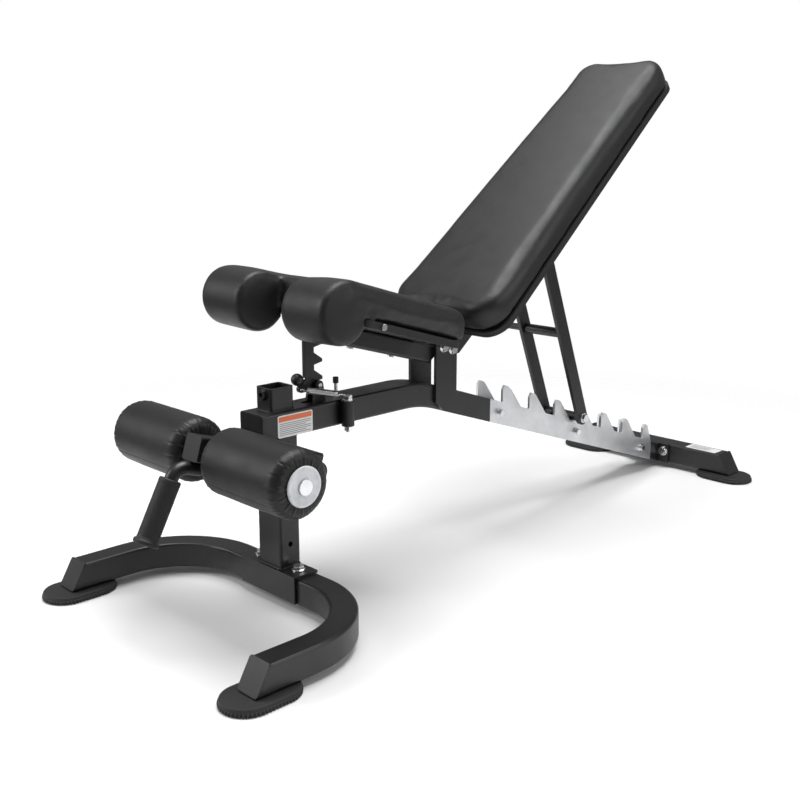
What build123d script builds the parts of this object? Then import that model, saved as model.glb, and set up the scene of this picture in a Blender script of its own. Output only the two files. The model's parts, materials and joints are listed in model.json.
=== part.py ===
from build123d import *
import math
import os

# Decline sit-up bench on a free-standing steel frame.  Millimetres.
# +X runs to the head end, +Z is up, and the bench is symmetric about the XZ plane.
# The origin is on the floor, under the middle of the overall length.

# ---------------------------------------------------------------- overall sizes
overall_length = 1500.0       # front edge of the front feet to rear edge of the rear feet
base_half_width = 256.0       # centre line of each front leg from the middle
rear_half_width = 190.0       # centre of each rear foot from the middle

# ---------------------------------------------------------------- feet and bases
foot_thickness = 12.0
foot_length = 130.0
foot_width = 84.0
foot_bevel = 2.0
base_tube = 45.0              # front U tube, square
base_wall = 2.5
base_bend = 148.0             # centre line radius of the two bends
base_mid_x = -447.0           # centre line of the middle stretch
end_slant = 26.0              # how far the bottom of a slanted tube end sticks out
end_plate = 4.0
front_end_inset = 70.0        # top of the slanted leg end behind the tip of the foot
rear_tube_width = 50.0
rear_tube_height = 45.0
rear_tube_x = 711.0
rear_bolt_gap = 1.6           # between the beam's side and the washer beside it
rear_mount_edge = 13.0        # flange edge outside its bolt's centre
rear_bolt_z = 40.0
rear_top_half = 183.0         # half length of the rear tube along its top

# ---------------------------------------------------------------- post and beam
post_width = 60.0             # along Y, the same as the beam
post_depth = 43.0
tube_wall = 2.5
tube_corner = 5.0
saddle_plate = 5.0
saddle_half = 72.0
saddle_bolt_half = 50.0
beam_width = 60.0
beam_height = 44.0
beam_bottom = 287.0           # underside of the level front stretch
beam_front_x = -497.0
beam_bend_x = -131.0
beam_bend_radius = 240.0
beam_drop = math.radians(18.7)
cap_thickness = 4.0
plug_gap = 0.2                # between a plug and the tube it closes
plug_corner = 4.0

# ---------------------------------------------------------------- accessory receiver
receiver_length = 48.0        # along X
receiver_width = 40.0         # along Y
receiver_height = 38.5
receiver_x = -448.0
receiver_wall = 3.0
boss_radius = 9.0
boss_length = 5.0
lock_hole_radius = 4.25
lock_height = 27.0            # boss above the beam

# ---------------------------------------------------------------- leg holder
socket_z = 245.0              # height of the leg tube's centre line at the post
leg_rise = 17.5               # degrees, the leg tube climbs to the front
leg_tube_width = 40.0
leg_tube_height = 42.0
leg_front = 170.0             # from the post centre to the tube's front end
leg_rear = 80.0
slide_clearance = 0.6
socket_wall = 2.5
socket_half = 33.0
axle_along = 130.0            # roller axle from the post centre
axle_offset = -8.0            # below the tube's centre line
axle_radius = 10.0
roller_radius = 54.0
roller_core_radius = 16.0
roller_inner = 31.0
roller_outer = 223.0
roller_disc_radius = 31.0
roller_disc_thickness = 4.0
running_gap = 0.05
side_gap = 0.5                # between a turning part and the plate beside it
axle_half = 227.0
stem_radius = 11.0
grip_radius = 17.5
grip_flange_radius = 20.5
grip_length = 103.0
pin_radius = 5.0
pin_barrel_radius = 10.0
pin_barrel_end = 52.0         # |y| of the barrel's outer end
pin_knob_radius = 17.0
pin_knob_near = 78.0          # |y| of the knob's inner face
pin_knob_length = 34.0
pin_hole_pitch = 40.0

# ---------------------------------------------------------------- uprights and seat
side_plate = 6.0
upright_front = -102.7
upright_rear = -47.0
upright_top = 411.0
side_plate_rear = 51.0
seat_pivot_x = -85.0
seat_pivot_z = 391.0
seat_tilt = 16.0              # degrees, front raised
pivot_bolt_radius = 5.0
seat_tube_width = 50.0
seat_tube_height = 34.0
seat_tube_rear = 12.0
seat_ear_radius = 9.5
seat_tube_front = 300.0
seat_board_thickness = 12.0
seat_board_rear = 66.0
seat_board_front = 318.0
seat_rear_edge = 56.0         # forward of the pivot
seat_notch_wall = 330.0
seat_roll_centre = 361.0
seat_roll_radius = 51.0
seat_roll_height = 11.5       # roll centre above the pivot
seat_rear_half = 140.0
seat_front_half = 163.0
seat_notch_half = 54.0
seat_board_inset = 3.0        # board edge inside the pad's side
seat_side_screw = 277.0       # screw in the board's near edge, forward of the pivot
ladder_along = 295.0          # ladder pivot forward of the seat pivot
ladder_across = -17.0
ladder_thickness = 7.0
ladder_front = 13.0           # front edge ahead of its pivot
ladder_neck = 7.0             # notch floor behind the pivot
ladder_tooth = 25.0           # tooth tip behind the pivot
hook_pitch = 30.0
hook_relief = 3.6             # tip higher than the root, so that the ladder swings off the pin
hook_first = 33.0             # first hook underside below the pivot
ladder_bottom = 107.0
knob_radius = 10.5
knob_drop = 84.0
ladder_toe = 21.0             # spring hole ahead of the ladder's pivot
ladder_bolt_radius = 4.0
seat_screw_along = (94.0, 195.0)
catch_pin_radius = 4.0
catch_lug_gap = 3.5
catch_lug_thickness = 5.0

# ---------------------------------------------------------------- backrest
back_pivot_x = -61.0
back_pivot_z = 384.0
back_angle = 39.0
back_rail_width = 50.0
back_rail_thickness = 30.0
back_rail_start = 22.0
back_rail_end = 600.0
back_plane = 1.5              # back of the board, across from the pivot
back_board_thickness = 12.0
back_pad_front = 73.0
back_pad_start = 35.0
back_pad_end = 786.0
back_pad_low_half = 134.0
back_pad_top_half = 104.0
back_board_inset = 3.0
ear_thickness = 4.0
back_ear_radius = 13.5
strut_along = 303.0           # strut pivot from the backrest pivot
strut_across = -18.6
strut_half = 50.0             # centre of each strut leg from the middle
strut_leg_width = 30.0
strut_leg_thickness = 8.0
strut_handle_share = 0.51     # where the cross handle sits on the leg, from the bottom
handle_radius = 10.0
handle_rod_radius = 7.0
handle_reach = 118.0
back_screw_along = (150.0, 400.0, 570.0)

# ---------------------------------------------------------------- catch ladder
ladder_plate = 5.0
ladder_plate_rear = 637.0
tooth_count = 7
tooth_pitch = 85.0
tooth_first = 90.0            # front edge of the first tooth
tooth_height = 35.0
tooth_base = 54.0
tooth_tip = 13.0              # tip behind the tooth's front edge
catch_tooth = 3               # the catch bar rests ahead of this tooth, counted from 0
catch_bar_radius = 9.5
catch_gap = 0.3

# ---------------------------------------------------------------- small parts
bolt_radius = 5.0
bolt_head_radius = 9.8
bolt_head_height = 6.4
nut_height = 8.0
washer_thickness = 2.0
bolt_clearance = 0.25
stop_x = -316.0               # seat stop stud on the beam
stop_top = 364.0
bush_x = -325.0               # spring bushing on the beam's near side
bush_radius = 11.0
bush_bolt_radius = 4.0
spring_radius = 6.2
spring_wire = 1.4
spring_lead = 3.0
spring_coil = 56.0

floor_to_tube = foot_thickness
base_top = floor_to_tube + base_tube
rear_top = floor_to_tube + rear_tube_height
front_foot_x = -overall_length / 2 + foot_length / 2
beam_top = beam_bottom + beam_height
saddle_top = base_top + saddle_plate
saddle_reach = min(saddle_half, base_half_width - base_bend)    # stays on the straight stretch
rear_mount_x = rear_tube_x - rear_tube_width / 2 - saddle_plate
hole_radius = bolt_radius + bolt_clearance
beam_half = beam_width / 2
washer_reach = bolt_head_radius + 1.6
rear_bolt_half = beam_half + rear_bolt_gap + washer_reach
rear_mount_half = rear_bolt_half + rear_mount_edge
bush_y = -beam_half - bush_radius
forward = Vector(-math.cos(math.radians(leg_rise)), 0, math.sin(math.radians(leg_rise)))


# ================================================================ helpers
def block(x0, x1, y0, y1, z0, z1):
    """Box between two corners."""
    return Pos((x0 + x1) / 2, (y0 + y1) / 2, (z0 + z1) / 2) * Box(x1 - x0, y1 - y0, z1 - z0)


def slab(sketch, y0, y1):
    """Side-view sketch (local x is X, local y is Z) made solid from y0 to y1."""
    return Pos(0, y1, 0) * extrude(Plane.XZ * sketch, amount=y1 - y0)


def rod_y(x, z, radius, y0, y1):
    """Round bar along Y."""
    return Pos(x, (y0 + y1) / 2, z) * Rot(90, 0, 0) * Cylinder(radius, y1 - y0)


def rod_z(x, y, radius, z0, z1):
    """Round bar along Z."""
    return Pos(x, y, (z0 + z1) / 2) * Cylinder(radius, z1 - z0)


def rod_x(y, z, radius, x0, x1):
    """Round bar along X."""
    return Pos((x0 + x1) / 2, y, z) * Rot(0, 90, 0) * Cylinder(radius, x1 - x0)


def box_tube(length, width, height, wall, corner=tube_corner):
    """Hollow rectangular tube along +X from the origin, width along Y, height along Z."""
    outer = Plane.YZ * RectangleRounded(width, height, corner)
    inner = Plane.YZ * RectangleRounded(width - 2 * wall, height - 2 * wall, corner - wall / 2)
    return extrude(outer, amount=length) - extrude(inner, amount=length)


def stadium(x, y, length, width, z0, z1, along_y=False):
    """Plate with half-round ends standing from z0 to z1."""
    turn = 90 if along_y else 0
    return Pos(x, y, z0) * Rot(0, 0, turn) * extrude(SlotOverall(length, width), amount=z1 - z0)


def hex_prism(radius, height):
    """Hexagon across-corners radius, standing on the XY plane."""
    return extrude(RegularPolygon(radius, 6), amount=height)


def bolt_along(place, length, radius=bolt_radius, head=bolt_head_radius, nut=True):
    """Hex bolt with washers and a nut: its head sits on the XY plane of place, its shank runs to -Z."""
    solid = Pos(0, 0, washer_thickness) * hex_prism(head, bolt_head_height)
    solid += Pos(0, 0, washer_thickness / 2) * Cylinder(head + 1.6, washer_thickness)
    solid += Pos(0, 0, -length / 2) * Cylinder(radius, length)
    if nut:
        solid += Pos(0, 0, -length - nut_height) * hex_prism(head, nut_height)
        solid += Pos(0, 0, -length - nut_height - 1.5) * Cylinder(radius, 3)
    return place * solid


def side_bolt(x, z, half, radius=bolt_radius, head=bolt_head_radius):
    """Bolt across the bench, its head on the near side at y = -half."""
    return bolt_along(Location((x, -half, z), (90, 0, 0)), 2 * half, radius, head)


def mirrored(shape):
    """The same shape on the other side of the bench."""
    return mirror(shape, about=Plane.XZ)


parts = {}


def keep(name, shape):
    """Name a finished solid."""
    parts[name] = shape


# ================================================================ front base
def base_path():
    """Centre line of the U tube."""
    end_x = front_foot_x - foot_length
    near = Vector(end_x, -base_half_width, 0)
    corner_near = Vector(base_mid_x, -base_half_width, 0)
    corner_far = Vector(base_mid_x, base_half_width, 0)
    far = Vector(end_x, base_half_width, 0)
    return FilletPolyline(near, corner_near, corner_far, far, radius=base_bend)


def swept(path, width, height, corner):
    """Rounded rectangle swept along a path that starts along +X."""
    section = Plane(path @ 0, x_dir=(0, 1, 0), z_dir=path % 0) * RectangleRounded(width, height, corner)
    return sweep(section, path=path)


def slant_cut(top_x, bottom_x, z0, z1, reach):
    """Wedge in front of a slanted face that leans from top_x at z1 to bottom_x at z0."""
    far_x = min(top_x, bottom_x) - 300
    lean = (bottom_x - top_x) / (z1 - z0)
    points = [
        (far_x, z0 - 10),
        (bottom_x + lean * 10, z0 - 10),
        (top_x - lean * 10, z1 + 10),
        (far_x, z1 + 10),
    ]
    return slab(make_face(Polyline(*points, close=True)), -reach, reach)


def front_base():
    """Square tube bent to a U that opens to the front, with slanted leg ends."""
    path = Pos(0, 0, floor_to_tube + base_tube / 2) * base_path()
    tube = swept(path, base_tube, base_tube, tube_corner)
    tube -= swept(path, base_tube - 2 * base_wall, base_tube - 2 * base_wall, tube_corner - base_wall / 2)
    top_x = -overall_length / 2 + front_end_inset
    tube -= slant_cut(top_x, top_x - end_slant, floor_to_tube, base_top, base_half_width + 100)
    for side in (-1, 1):
        tube -= rod_z(base_mid_x, side * saddle_bolt_half, hole_radius, 0, base_top + 1)
        tube -= rod_z(front_foot_x + 30, side * base_half_width, 3, 0, floor_to_tube + base_wall + 1)
    return tube


def front_end_plate(side):
    """Plate welded over the slanted end of a leg."""
    top_x = -overall_length / 2 + front_end_inset
    lean = math.atan2(end_slant, base_tube)
    length = math.hypot(end_slant, base_tube)
    plate = extrude(RectangleRounded(base_tube, length, tube_corner), amount=end_plate)
    place = Location((top_x - end_slant / 2, side * base_half_width, floor_to_tube + base_tube / 2))
    return place * Rot(0, -90 + math.degrees(lean), 0) * Rot(0, 0, 90) * plate


def rear_base():
    """Cross tube under the head end, with slanted ends."""
    long = rear_top_half + end_slant
    tube = Pos(rear_tube_x, -long, floor_to_tube + rear_tube_height / 2)
    tube = tube * Rot(0, 0, 90) * box_tube(2 * long, rear_tube_width, rear_tube_height, base_wall)
    for side in (-1, 1):
        wedge = Rot(0, 0, -90) * slant_cut(-rear_top_half, -long, floor_to_tube, rear_top, 60)
        wedge = Rot(0, 0, 180) * wedge if side < 0 else wedge
        tube -= Pos(rear_tube_x, 0, 0) * wedge
        tube -= rod_x(side * rear_bolt_half, rear_bolt_z, hole_radius,
                      rear_tube_x - rear_tube_width, rear_tube_x + rear_tube_width)
        tube -= rod_z(rear_tube_x, side * rear_half_width, 3, 0, floor_to_tube + base_wall + 1)
    return tube


def rear_end_plate(side):
    """Plate welded over a slanted end of the rear tube."""
    lean = math.atan2(end_slant, rear_tube_height)
    length = math.hypot(end_slant, rear_tube_height)
    plate = extrude(RectangleRounded(length, rear_tube_width, tube_corner), amount=end_plate)
    tilt = Rot(0, -90 + math.degrees(lean), 0) * plate
    turn = Rot(0, 0, 90) if side < 0 else Rot(0, 0, -90)
    place = Pos(rear_tube_x, side * (rear_top_half + end_slant / 2), floor_to_tube + rear_tube_height / 2)
    return place * turn * tilt


def foot(x, y, along_y):
    """Oval rubber foot with a bevelled top edge and a screw hole."""
    pad = stadium(x, y, foot_length, foot_width, 0, foot_thickness, along_y)
    pad = chamfer(pad.edges().group_by(Axis.Z)[-1], foot_bevel)
    screw_x = rear_tube_x if along_y else x + 30
    return pad - rod_z(screw_x, y, 3, -1, foot_thickness + 1)


def foot_screws():
    """Screw through each foot into its tube."""
    screws = []
    spots = [(front_foot_x + 30, s * base_half_width) for s in (-1, 1)]
    spots += [(rear_tube_x, s * rear_half_width) for s in (-1, 1)]
    for x, y in spots:
        screws.append(rod_z(x, y, 3, 2, floor_to_tube + base_wall + 3))
    return Compound(children=screws)


# ================================================================ post, beam and brackets
def front_saddle():
    """Angle bracket over the middle of the U tube that carries the post."""
    front = base_mid_x - base_tube / 2 - saddle_plate
    top = block(front, base_mid_x + base_tube / 2, -saddle_reach, saddle_reach, base_top, saddle_top)
    flange = block(front, front + saddle_plate, -saddle_reach, saddle_reach, floor_to_tube + 3, saddle_top)
    plate = top + flange
    for side in (-1, 1):
        plate -= rod_z(base_mid_x, side * saddle_bolt_half, hole_radius, base_top - 1, saddle_top + 1)
    return plate


def mount_bolts():
    """Two bolts through the front saddle and two through the rear flange."""
    bolts = []
    for side in (-1, 1):
        front = Location((base_mid_x, side * saddle_bolt_half, saddle_top))
        rear = Location((rear_mount_x, side * rear_bolt_half, rear_bolt_z), (0, -90, 0))
        bolts.append(bolt_along(front, saddle_plate + base_tube))
        bolts.append(bolt_along(rear, saddle_plate + rear_tube_width))
    return Compound(children=bolts)


def socket_place(along):
    """Location on the leg tube's centre line, local X pointing forward and up."""
    spot = Vector(base_mid_x, 0, socket_z) + forward * along
    return Location(Plane(spot, x_dir=forward, z_dir=(forward.Z, 0, -forward.X)))


socket_width = leg_tube_width + 2 * (slide_clearance + socket_wall)
socket_height = leg_tube_height + 2 * (slide_clearance + socket_wall)


def leg_socket():
    """Sloped sleeve through the post that guides the leg tube."""
    outer = box_tube(2 * socket_half, socket_width, socket_height, socket_wall, tube_corner)
    sleeve = socket_place(-socket_half) * outer
    return sleeve - rod_y(base_mid_x, socket_z, pin_radius + running_gap, -socket_width, 0)


def front_post():
    """Upright tube from the saddle to the beam, open where the sleeve passes."""
    tube = Pos(base_mid_x, 0, saddle_top) * Rot(0, -90, 0)
    tube = tube * box_tube(beam_bottom - saddle_top, post_width, post_depth, tube_wall)
    hole = Plane.YZ * RectangleRounded(socket_width, socket_height, tube_corner)
    tube -= socket_place(-3 * socket_half) * extrude(hole, amount=6 * socket_half)
    tube -= rod_y(base_mid_x, socket_z, pin_radius + running_gap, -post_width, 0)
    tube -= rod_y(base_mid_x, saddle_top + 40, 4.5, -post_width, post_width)
    return tube


def main_beam():
    """Spine: level at the front, falling to the rear base after the bend."""
    mid = beam_bottom + beam_height / 2
    rear_x = rear_mount_x
    drop = (rear_x - beam_bend_x) * math.tan(beam_drop)
    extra = 60
    line = FilletPolyline(
        (beam_front_x + cap_thickness, 0, mid),
        (beam_bend_x, 0, mid),
        (rear_x + extra, 0, mid - drop - extra * math.tan(beam_drop)),
        radius=beam_bend_radius,
    )
    tube = swept(line, beam_width, beam_height, tube_corner)
    tube -= swept(line, beam_width - 2 * tube_wall, beam_height - 2 * tube_wall, tube_corner - tube_wall / 2)
    tube -= block(rear_x, rear_x + 200, -100, 100, -200, 300)
    for x in ladder_bolt_x():
        tube -= rod_y(x, beam_centre(x), hole_radius, -50, 50)
    slot_front = ladder_x - ladder_front - 6
    slot_rear = ladder_x + ladder_tooth + 3
    half = ladder_thickness / 2 + 2
    tube -= block(slot_front, slot_rear, -half, half, beam_top - 2 * tube_wall, beam_top + 5)
    tube -= rod_z(stop_x, 0, 3, beam_top - 10, beam_top + 10)
    return tube


def beam_centre(x):
    """Height of the falling stretch's centre line."""
    mid = beam_bottom + beam_height / 2
    return mid - (x - beam_bend_x) * math.tan(beam_drop)


def falling_top(x):
    """Height of the falling stretch's top face."""
    return beam_centre(x) + beam_height / 2 / math.cos(beam_drop)


def falling_bottom(x):
    """Height of the falling stretch's underside."""
    return beam_centre(x) - beam_height / 2 / math.cos(beam_drop)


def ladder_bolt_x():
    """The three bolts that hold the ladder plates, evenly spaced."""
    first = side_plate_rear + 30
    last = ladder_plate_rear - 43
    return [first, (first + last) / 2, last]


def beam_cap():
    """Plastic plug in the beam's front end."""
    face = Plane.YZ * RectangleRounded(beam_width, beam_height, tube_corner)
    mid = beam_bottom + beam_height / 2
    cap = Pos(beam_front_x, 0, mid) * extrude(face, amount=cap_thickness)
    spigot_width = beam_width - 2 * (tube_wall + plug_gap)
    spigot_height = beam_height - 2 * (tube_wall + plug_gap)
    spigot = Plane.YZ * RectangleRounded(spigot_width, spigot_height, plug_corner)
    return cap + Pos(beam_front_x + cap_thickness, 0, mid) * extrude(spigot, amount=12)


def accessory_receiver():
    """Short upright tube, open at the top, with a threaded boss on its front."""
    outer = RectangleRounded(receiver_length, receiver_width, tube_corner)
    inner = RectangleRounded(receiver_length - 2 * receiver_wall, receiver_width - 2 * receiver_wall,
                             tube_corner - receiver_wall / 2)
    tube = Pos(receiver_x, 0, beam_top) * (extrude(outer, amount=receiver_height)
                                           - extrude(inner, amount=receiver_height))
    front = receiver_x - receiver_length / 2
    lock_z = beam_top + lock_height
    tube += rod_x(0, lock_z, boss_radius, front - boss_length, front + 1)
    return tube - rod_x(0, lock_z, lock_hole_radius, front - 20, front + 10)


def side_plate_shape():
    """Upright and rear arm of the pivot plate, cut from one sheet."""
    top_radius = (upright_rear - upright_front) / 2
    mid_x = (upright_front + upright_rear) / 2
    corner_radius = 20
    body = Polyline(
        (upright_front, beam_bottom + 2),
        (upright_front, upright_top),
        (upright_rear, upright_top),
        (upright_rear, falling_top(upright_rear)),
        (side_plate_rear, falling_top(side_plate_rear)),
        (side_plate_rear, falling_bottom(side_plate_rear)),
        (beam_bend_x + 50, falling_bottom(beam_bend_x + 50)),
        close=True,
    )
    plate = make_face(body)
    tops = plate.vertices().group_by(Axis.Y)[-1]
    plate = fillet(tops, corner_radius)
    for x, z in ((seat_pivot_x, seat_pivot_z), (back_pivot_x, back_pivot_z)):
        plate -= Pos(x, z) * Circle(pivot_bolt_radius + bolt_clearance)
    return plate


def pivot_side_plate(side):
    """Plate welded to one side of the beam that carries both pivots."""
    plate = slab(side_plate_shape(), -beam_half - side_plate, -beam_half)
    return plate if side < 0 else mirrored(plate)


def tooth_outline(k):
    """Points of one shark-fin tooth, from its front foot to its rear foot."""
    x = tooth_first + k * tooth_pitch
    foot_x = min(x + tooth_base, ladder_plate_rear - 1)
    return [
        (x, falling_top(x)),
        (x, falling_top(x) + tooth_height * 0.72),
        (x + tooth_tip * 0.45, falling_top(x) + tooth_height * 0.94),
        (x + tooth_tip, falling_top(x + tooth_tip) + tooth_height),
        (x + tooth_tip * 1.5, falling_top(x + tooth_tip) + tooth_height * 0.9),
        (foot_x, falling_top(foot_x)),
    ]


def ladder_side(side):
    """Notched plate bolted to one side of the beam."""
    points = [
        (side_plate_rear, falling_bottom(side_plate_rear)),
        (side_plate_rear, falling_top(side_plate_rear)),
    ]
    for k in range(tooth_count):
        points += tooth_outline(k)
    points += [
        (ladder_plate_rear, falling_top(ladder_plate_rear)),
        (ladder_plate_rear, falling_bottom(ladder_plate_rear)),
    ]
    sheet = make_face(Polyline(*points, close=True))
    for x in ladder_bolt_x():
        sheet -= Pos(x, beam_centre(x)) * Circle(hole_radius)
    plate = slab(sheet, -beam_half - ladder_plate, -beam_half)
    return plate if side < 0 else mirrored(plate)


def ladder_bolts():
    """Bolts through both ladder plates and the beam."""
    half = beam_half + ladder_plate
    return Compound(children=[side_bolt(x, beam_centre(x), half, head=7.2) for x in ladder_bolt_x()])


def rear_mount():
    """Flange on the beam's rear end that bolts to the rear tube."""
    plate = block(rear_mount_x, rear_mount_x + saddle_plate, -rear_mount_half, rear_mount_half,
                  floor_to_tube, rear_top)
    for side in (-1, 1):
        plate -= rod_x(side * rear_bolt_half, rear_bolt_z, hole_radius,
                       rear_mount_x - 1, rear_mount_x + saddle_plate + 1)
    return plate


def pivot_bolts():
    """The seat's and the backrest's pivot bolts, through both upright plates."""
    half = beam_half + side_plate
    seat_bolt = side_bolt(seat_pivot_x, seat_pivot_z, half, pivot_bolt_radius, 7.8)
    back_bolt = side_bolt(back_pivot_x, back_pivot_z, half, pivot_bolt_radius, 7.8)
    return Compound(children=[seat_bolt, back_bolt])


# ================================================================ seat
def seat_place():
    """Seat parts are drawn level around the pivot, the front to -X, then tilted."""
    return Pos(seat_pivot_x, 0, seat_pivot_z) * Rot(0, seat_tilt, 0)


def seat_point(along, across):
    """World x and z of a point given forward of and above the seat pivot."""
    a = math.radians(seat_tilt)
    x = seat_pivot_x - along * math.cos(a) + across * math.sin(a)
    z = seat_pivot_z + along * math.sin(a) + across * math.cos(a)
    return x, z


ladder_x, ladder_z = seat_point(ladder_along, ladder_across)
knob_z = ladder_z - knob_drop


def seat_frame():
    """Tube under the seat: pivot ears behind, an open front end that the ladder hangs in."""
    long = seat_tube_front - seat_tube_rear
    frame = Pos(-seat_tube_front, 0, -seat_tube_height / 2)
    frame = frame * box_tube(long, seat_tube_width, seat_tube_height, tube_wall)
    half = ladder_thickness / 2 + 4
    frame -= block(-seat_tube_front - 1, -ladder_along + 38, -half, half, -seat_tube_height - 1, -18)
    ear = make_hull(
        Circle(seat_ear_radius).edges()
        + (Pos(-seat_tube_rear - 12, -seat_tube_height / 2) * Rectangle(24, seat_tube_height - 6)).edges()
    )
    ear_outer = seat_tube_width / 2 - tube_wall
    for side in (-1, 1):
        low, high = sorted((side * ear_outer, side * (ear_outer - 5)))
        frame += slab(ear, low, high)
    frame += rod_y(0, 0, 7.5, -beam_half + side_gap, beam_half - side_gap)
    frame -= rod_y(0, 0, pivot_bolt_radius + running_gap, -beam_half, beam_half)
    frame -= rod_y(-ladder_along, ladder_across, ladder_bolt_radius + bolt_clearance, -beam_half, beam_half)
    for x in seat_screw_along:
        frame -= rod_z(-x, 0, 3 + bolt_clearance, -seat_tube_height - 1, 1)
    return seat_place() * frame


def seat_half(along):
    """Half width of the tapered seat pad at a distance forward of the pivot."""
    share = (along - seat_rear_edge) / (seat_roll_centre - 20 - seat_rear_edge)
    return seat_rear_half + share * (seat_front_half - seat_rear_half)


def seat_board():
    """Plywood board under the seat pad, tapered with it."""
    rear = seat_half(seat_board_rear) - seat_board_inset
    front = seat_half(seat_board_front) - seat_board_inset
    face = make_face(Polyline(
        (-seat_board_rear, -rear),
        (-seat_board_rear, rear),
        (-seat_board_front, front),
        (-seat_board_front, -front),
        close=True,
    ))
    board = extrude(fillet(face.vertices(), 14), amount=seat_board_thickness)
    for x in seat_screw_along:
        board -= rod_z(-x, 0, 3, -1, seat_board_thickness - 3)
    edge = seat_half(seat_side_screw) - seat_board_inset
    board -= rod_y(-seat_side_screw, seat_board_thickness / 2, 3, -edge - 5, -edge + 14)
    return seat_place() * board


def seat_screws():
    """Screws up through the seat tube into the board, and one in the board's near edge."""
    screws = []
    for x in seat_screw_along:
        head = rod_z(-x, 0, 6, -seat_tube_height - 3, -seat_tube_height)
        screws.append(head + rod_z(-x, 0, 3, -seat_tube_height, seat_board_thickness - 3))
    edge = seat_half(seat_side_screw) - seat_board_inset
    shank = rod_y(-seat_side_screw, seat_board_thickness / 2, 3, -edge - 0.5, -edge + 14)
    head = rod_y(-seat_side_screw, seat_board_thickness / 2, 5.5, -edge - 4, -edge - 0.5)
    screws.append(head + shank)
    return seat_place() * Compound(children=screws)


def seat_side_shape():
    """Side view of the cushion: thin behind, rolled over at the front."""
    top = seat_roll_height + seat_roll_radius
    base = seat_board_thickness + 0.3
    body = Polyline(
        (-seat_rear_edge, base),
        (-seat_rear_edge, top - 4),
        (-seat_rear_edge - 20, top),
        (-seat_roll_centre, top),
        (-seat_roll_centre, seat_roll_height - seat_roll_radius),
        (-seat_board_front - 4, seat_roll_height - seat_roll_radius * 0.45),
        (-seat_board_front - 4, base),
        close=True,
    )
    roll = Pos(-seat_roll_centre, seat_roll_height) * Circle(seat_roll_radius)
    board_space = Pos(-seat_board_front / 2 - 2, base - 100) * Rectangle(seat_board_front + 4, 200)
    return make_face(body) + roll - board_space


def seat_pad():
    """Cushion with two rolled lobes either side of a notch."""
    pad = slab(seat_side_shape(), -seat_front_half, seat_front_half)
    for side in (-1, 1):
        taper = Polyline(
            (0, side * seat_rear_half),
            (-seat_rear_edge, side * seat_rear_half),
            (-seat_roll_centre + 20, side * seat_front_half),
            (-seat_roll_centre + 20, side * (seat_front_half + 20)),
            (0, side * (seat_front_half + 20)),
            close=True,
        )
        pad -= Pos(0, 0, -200) * extrude(make_face(taper), amount=400)
    front = seat_roll_centre + seat_roll_radius + 10
    pad -= block(-front, -seat_notch_wall, -seat_notch_half, seat_notch_half, -100, 120)
    return seat_place() * pad


def seat_ladder():
    """Flat hooked plate that hangs from the seat front; its toe takes the spring."""
    points = [(-ladder_front, 0)]
    points.append((ladder_neck, 0))
    for k in range(3):
        under = -hook_first - k * hook_pitch
        points.append((ladder_neck, under + hook_pitch - 9))
        points.append((ladder_tooth, under + hook_relief + 5))
        points.append((ladder_tooth, under + hook_relief))
        points.append((ladder_neck, under))
    points.append((ladder_neck, -ladder_bottom))
    points.append((-ladder_toe, -ladder_bottom))
    points.append((-ladder_toe, -ladder_bottom + 12))
    points.append((-ladder_front, -ladder_bottom + 18))
    sheet = make_face(Polyline(*points, close=True))
    sheet += Circle(ladder_front)
    sheet += Pos(-ladder_toe, -ladder_bottom + 6) * Circle(6)
    sheet -= Pos(-ladder_toe, -ladder_bottom + 6) * Circle(2.6)
    sheet -= Circle(ladder_bolt_radius + running_gap)
    plate = slab(sheet, -ladder_thickness / 2, ladder_thickness / 2)
    return Pos(ladder_x, 0, ladder_z) * plate


def ladder_pivot_bolt():
    """Bolt across the seat tube that the ladder swings on."""
    half = seat_tube_width / 2
    return side_bolt(ladder_x, ladder_z, half, ladder_bolt_radius, 7.2)


def release_stem():
    """Threaded stem from the ladder's front edge into the ball knob."""
    return rod_x(0, knob_z, 3, ladder_x - ladder_front - 10, ladder_x - ladder_front)


def release_knob():
    """Ball on the stem; pulling it forward frees the ladder from the catch pin."""
    ball = Pos(ladder_x - ladder_front - 4 - knob_radius, 0, knob_z) * Sphere(knob_radius)
    return ball - rod_x(0, knob_z, 3, ladder_x - ladder_front - 10, ladder_x)


def catch_pin_centre():
    """Pin centre in the lowest notch, touching the hook above it."""
    x = ladder_x + ladder_neck + catch_pin_radius + catch_gap
    z = ladder_z - hook_first - 2 * hook_pitch - catch_pin_radius - catch_gap
    return x, z


def catch_lug(side):
    """Small plate on the beam that holds one end of the catch pin."""
    x, z = catch_pin_centre()
    low = ladder_thickness / 2 + catch_lug_gap
    shape = make_hull((Pos(x, z) * Circle(8)).edges() + (Pos(x, beam_top + 1) * Rectangle(24, 2)).edges())
    shape -= Pos(x, z) * Circle(catch_pin_radius)
    y0, y1 = sorted((side * low, side * (low + catch_lug_thickness)))
    return slab(shape, y0, y1)


def catch_pin():
    """Cross pin that the seat ladder hooks over."""
    x, z = catch_pin_centre()
    half = ladder_thickness / 2 + catch_lug_gap + catch_lug_thickness + 2
    return rod_y(x, z, catch_pin_radius, -half, half)


def seat_stop_stud():
    """Stud on the beam under the seat frame."""
    return rod_z(stop_x, 0, 3, beam_top - tube_wall - 2, stop_top - 4)


def seat_stop_cap():
    """Rubber cap that the seat frame lands on when it is level."""
    cap = rod_z(stop_x, 0, 5, stop_top - 10, stop_top)
    return cap - rod_z(stop_x, 0, 3, stop_top - 11, stop_top - 4)


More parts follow.
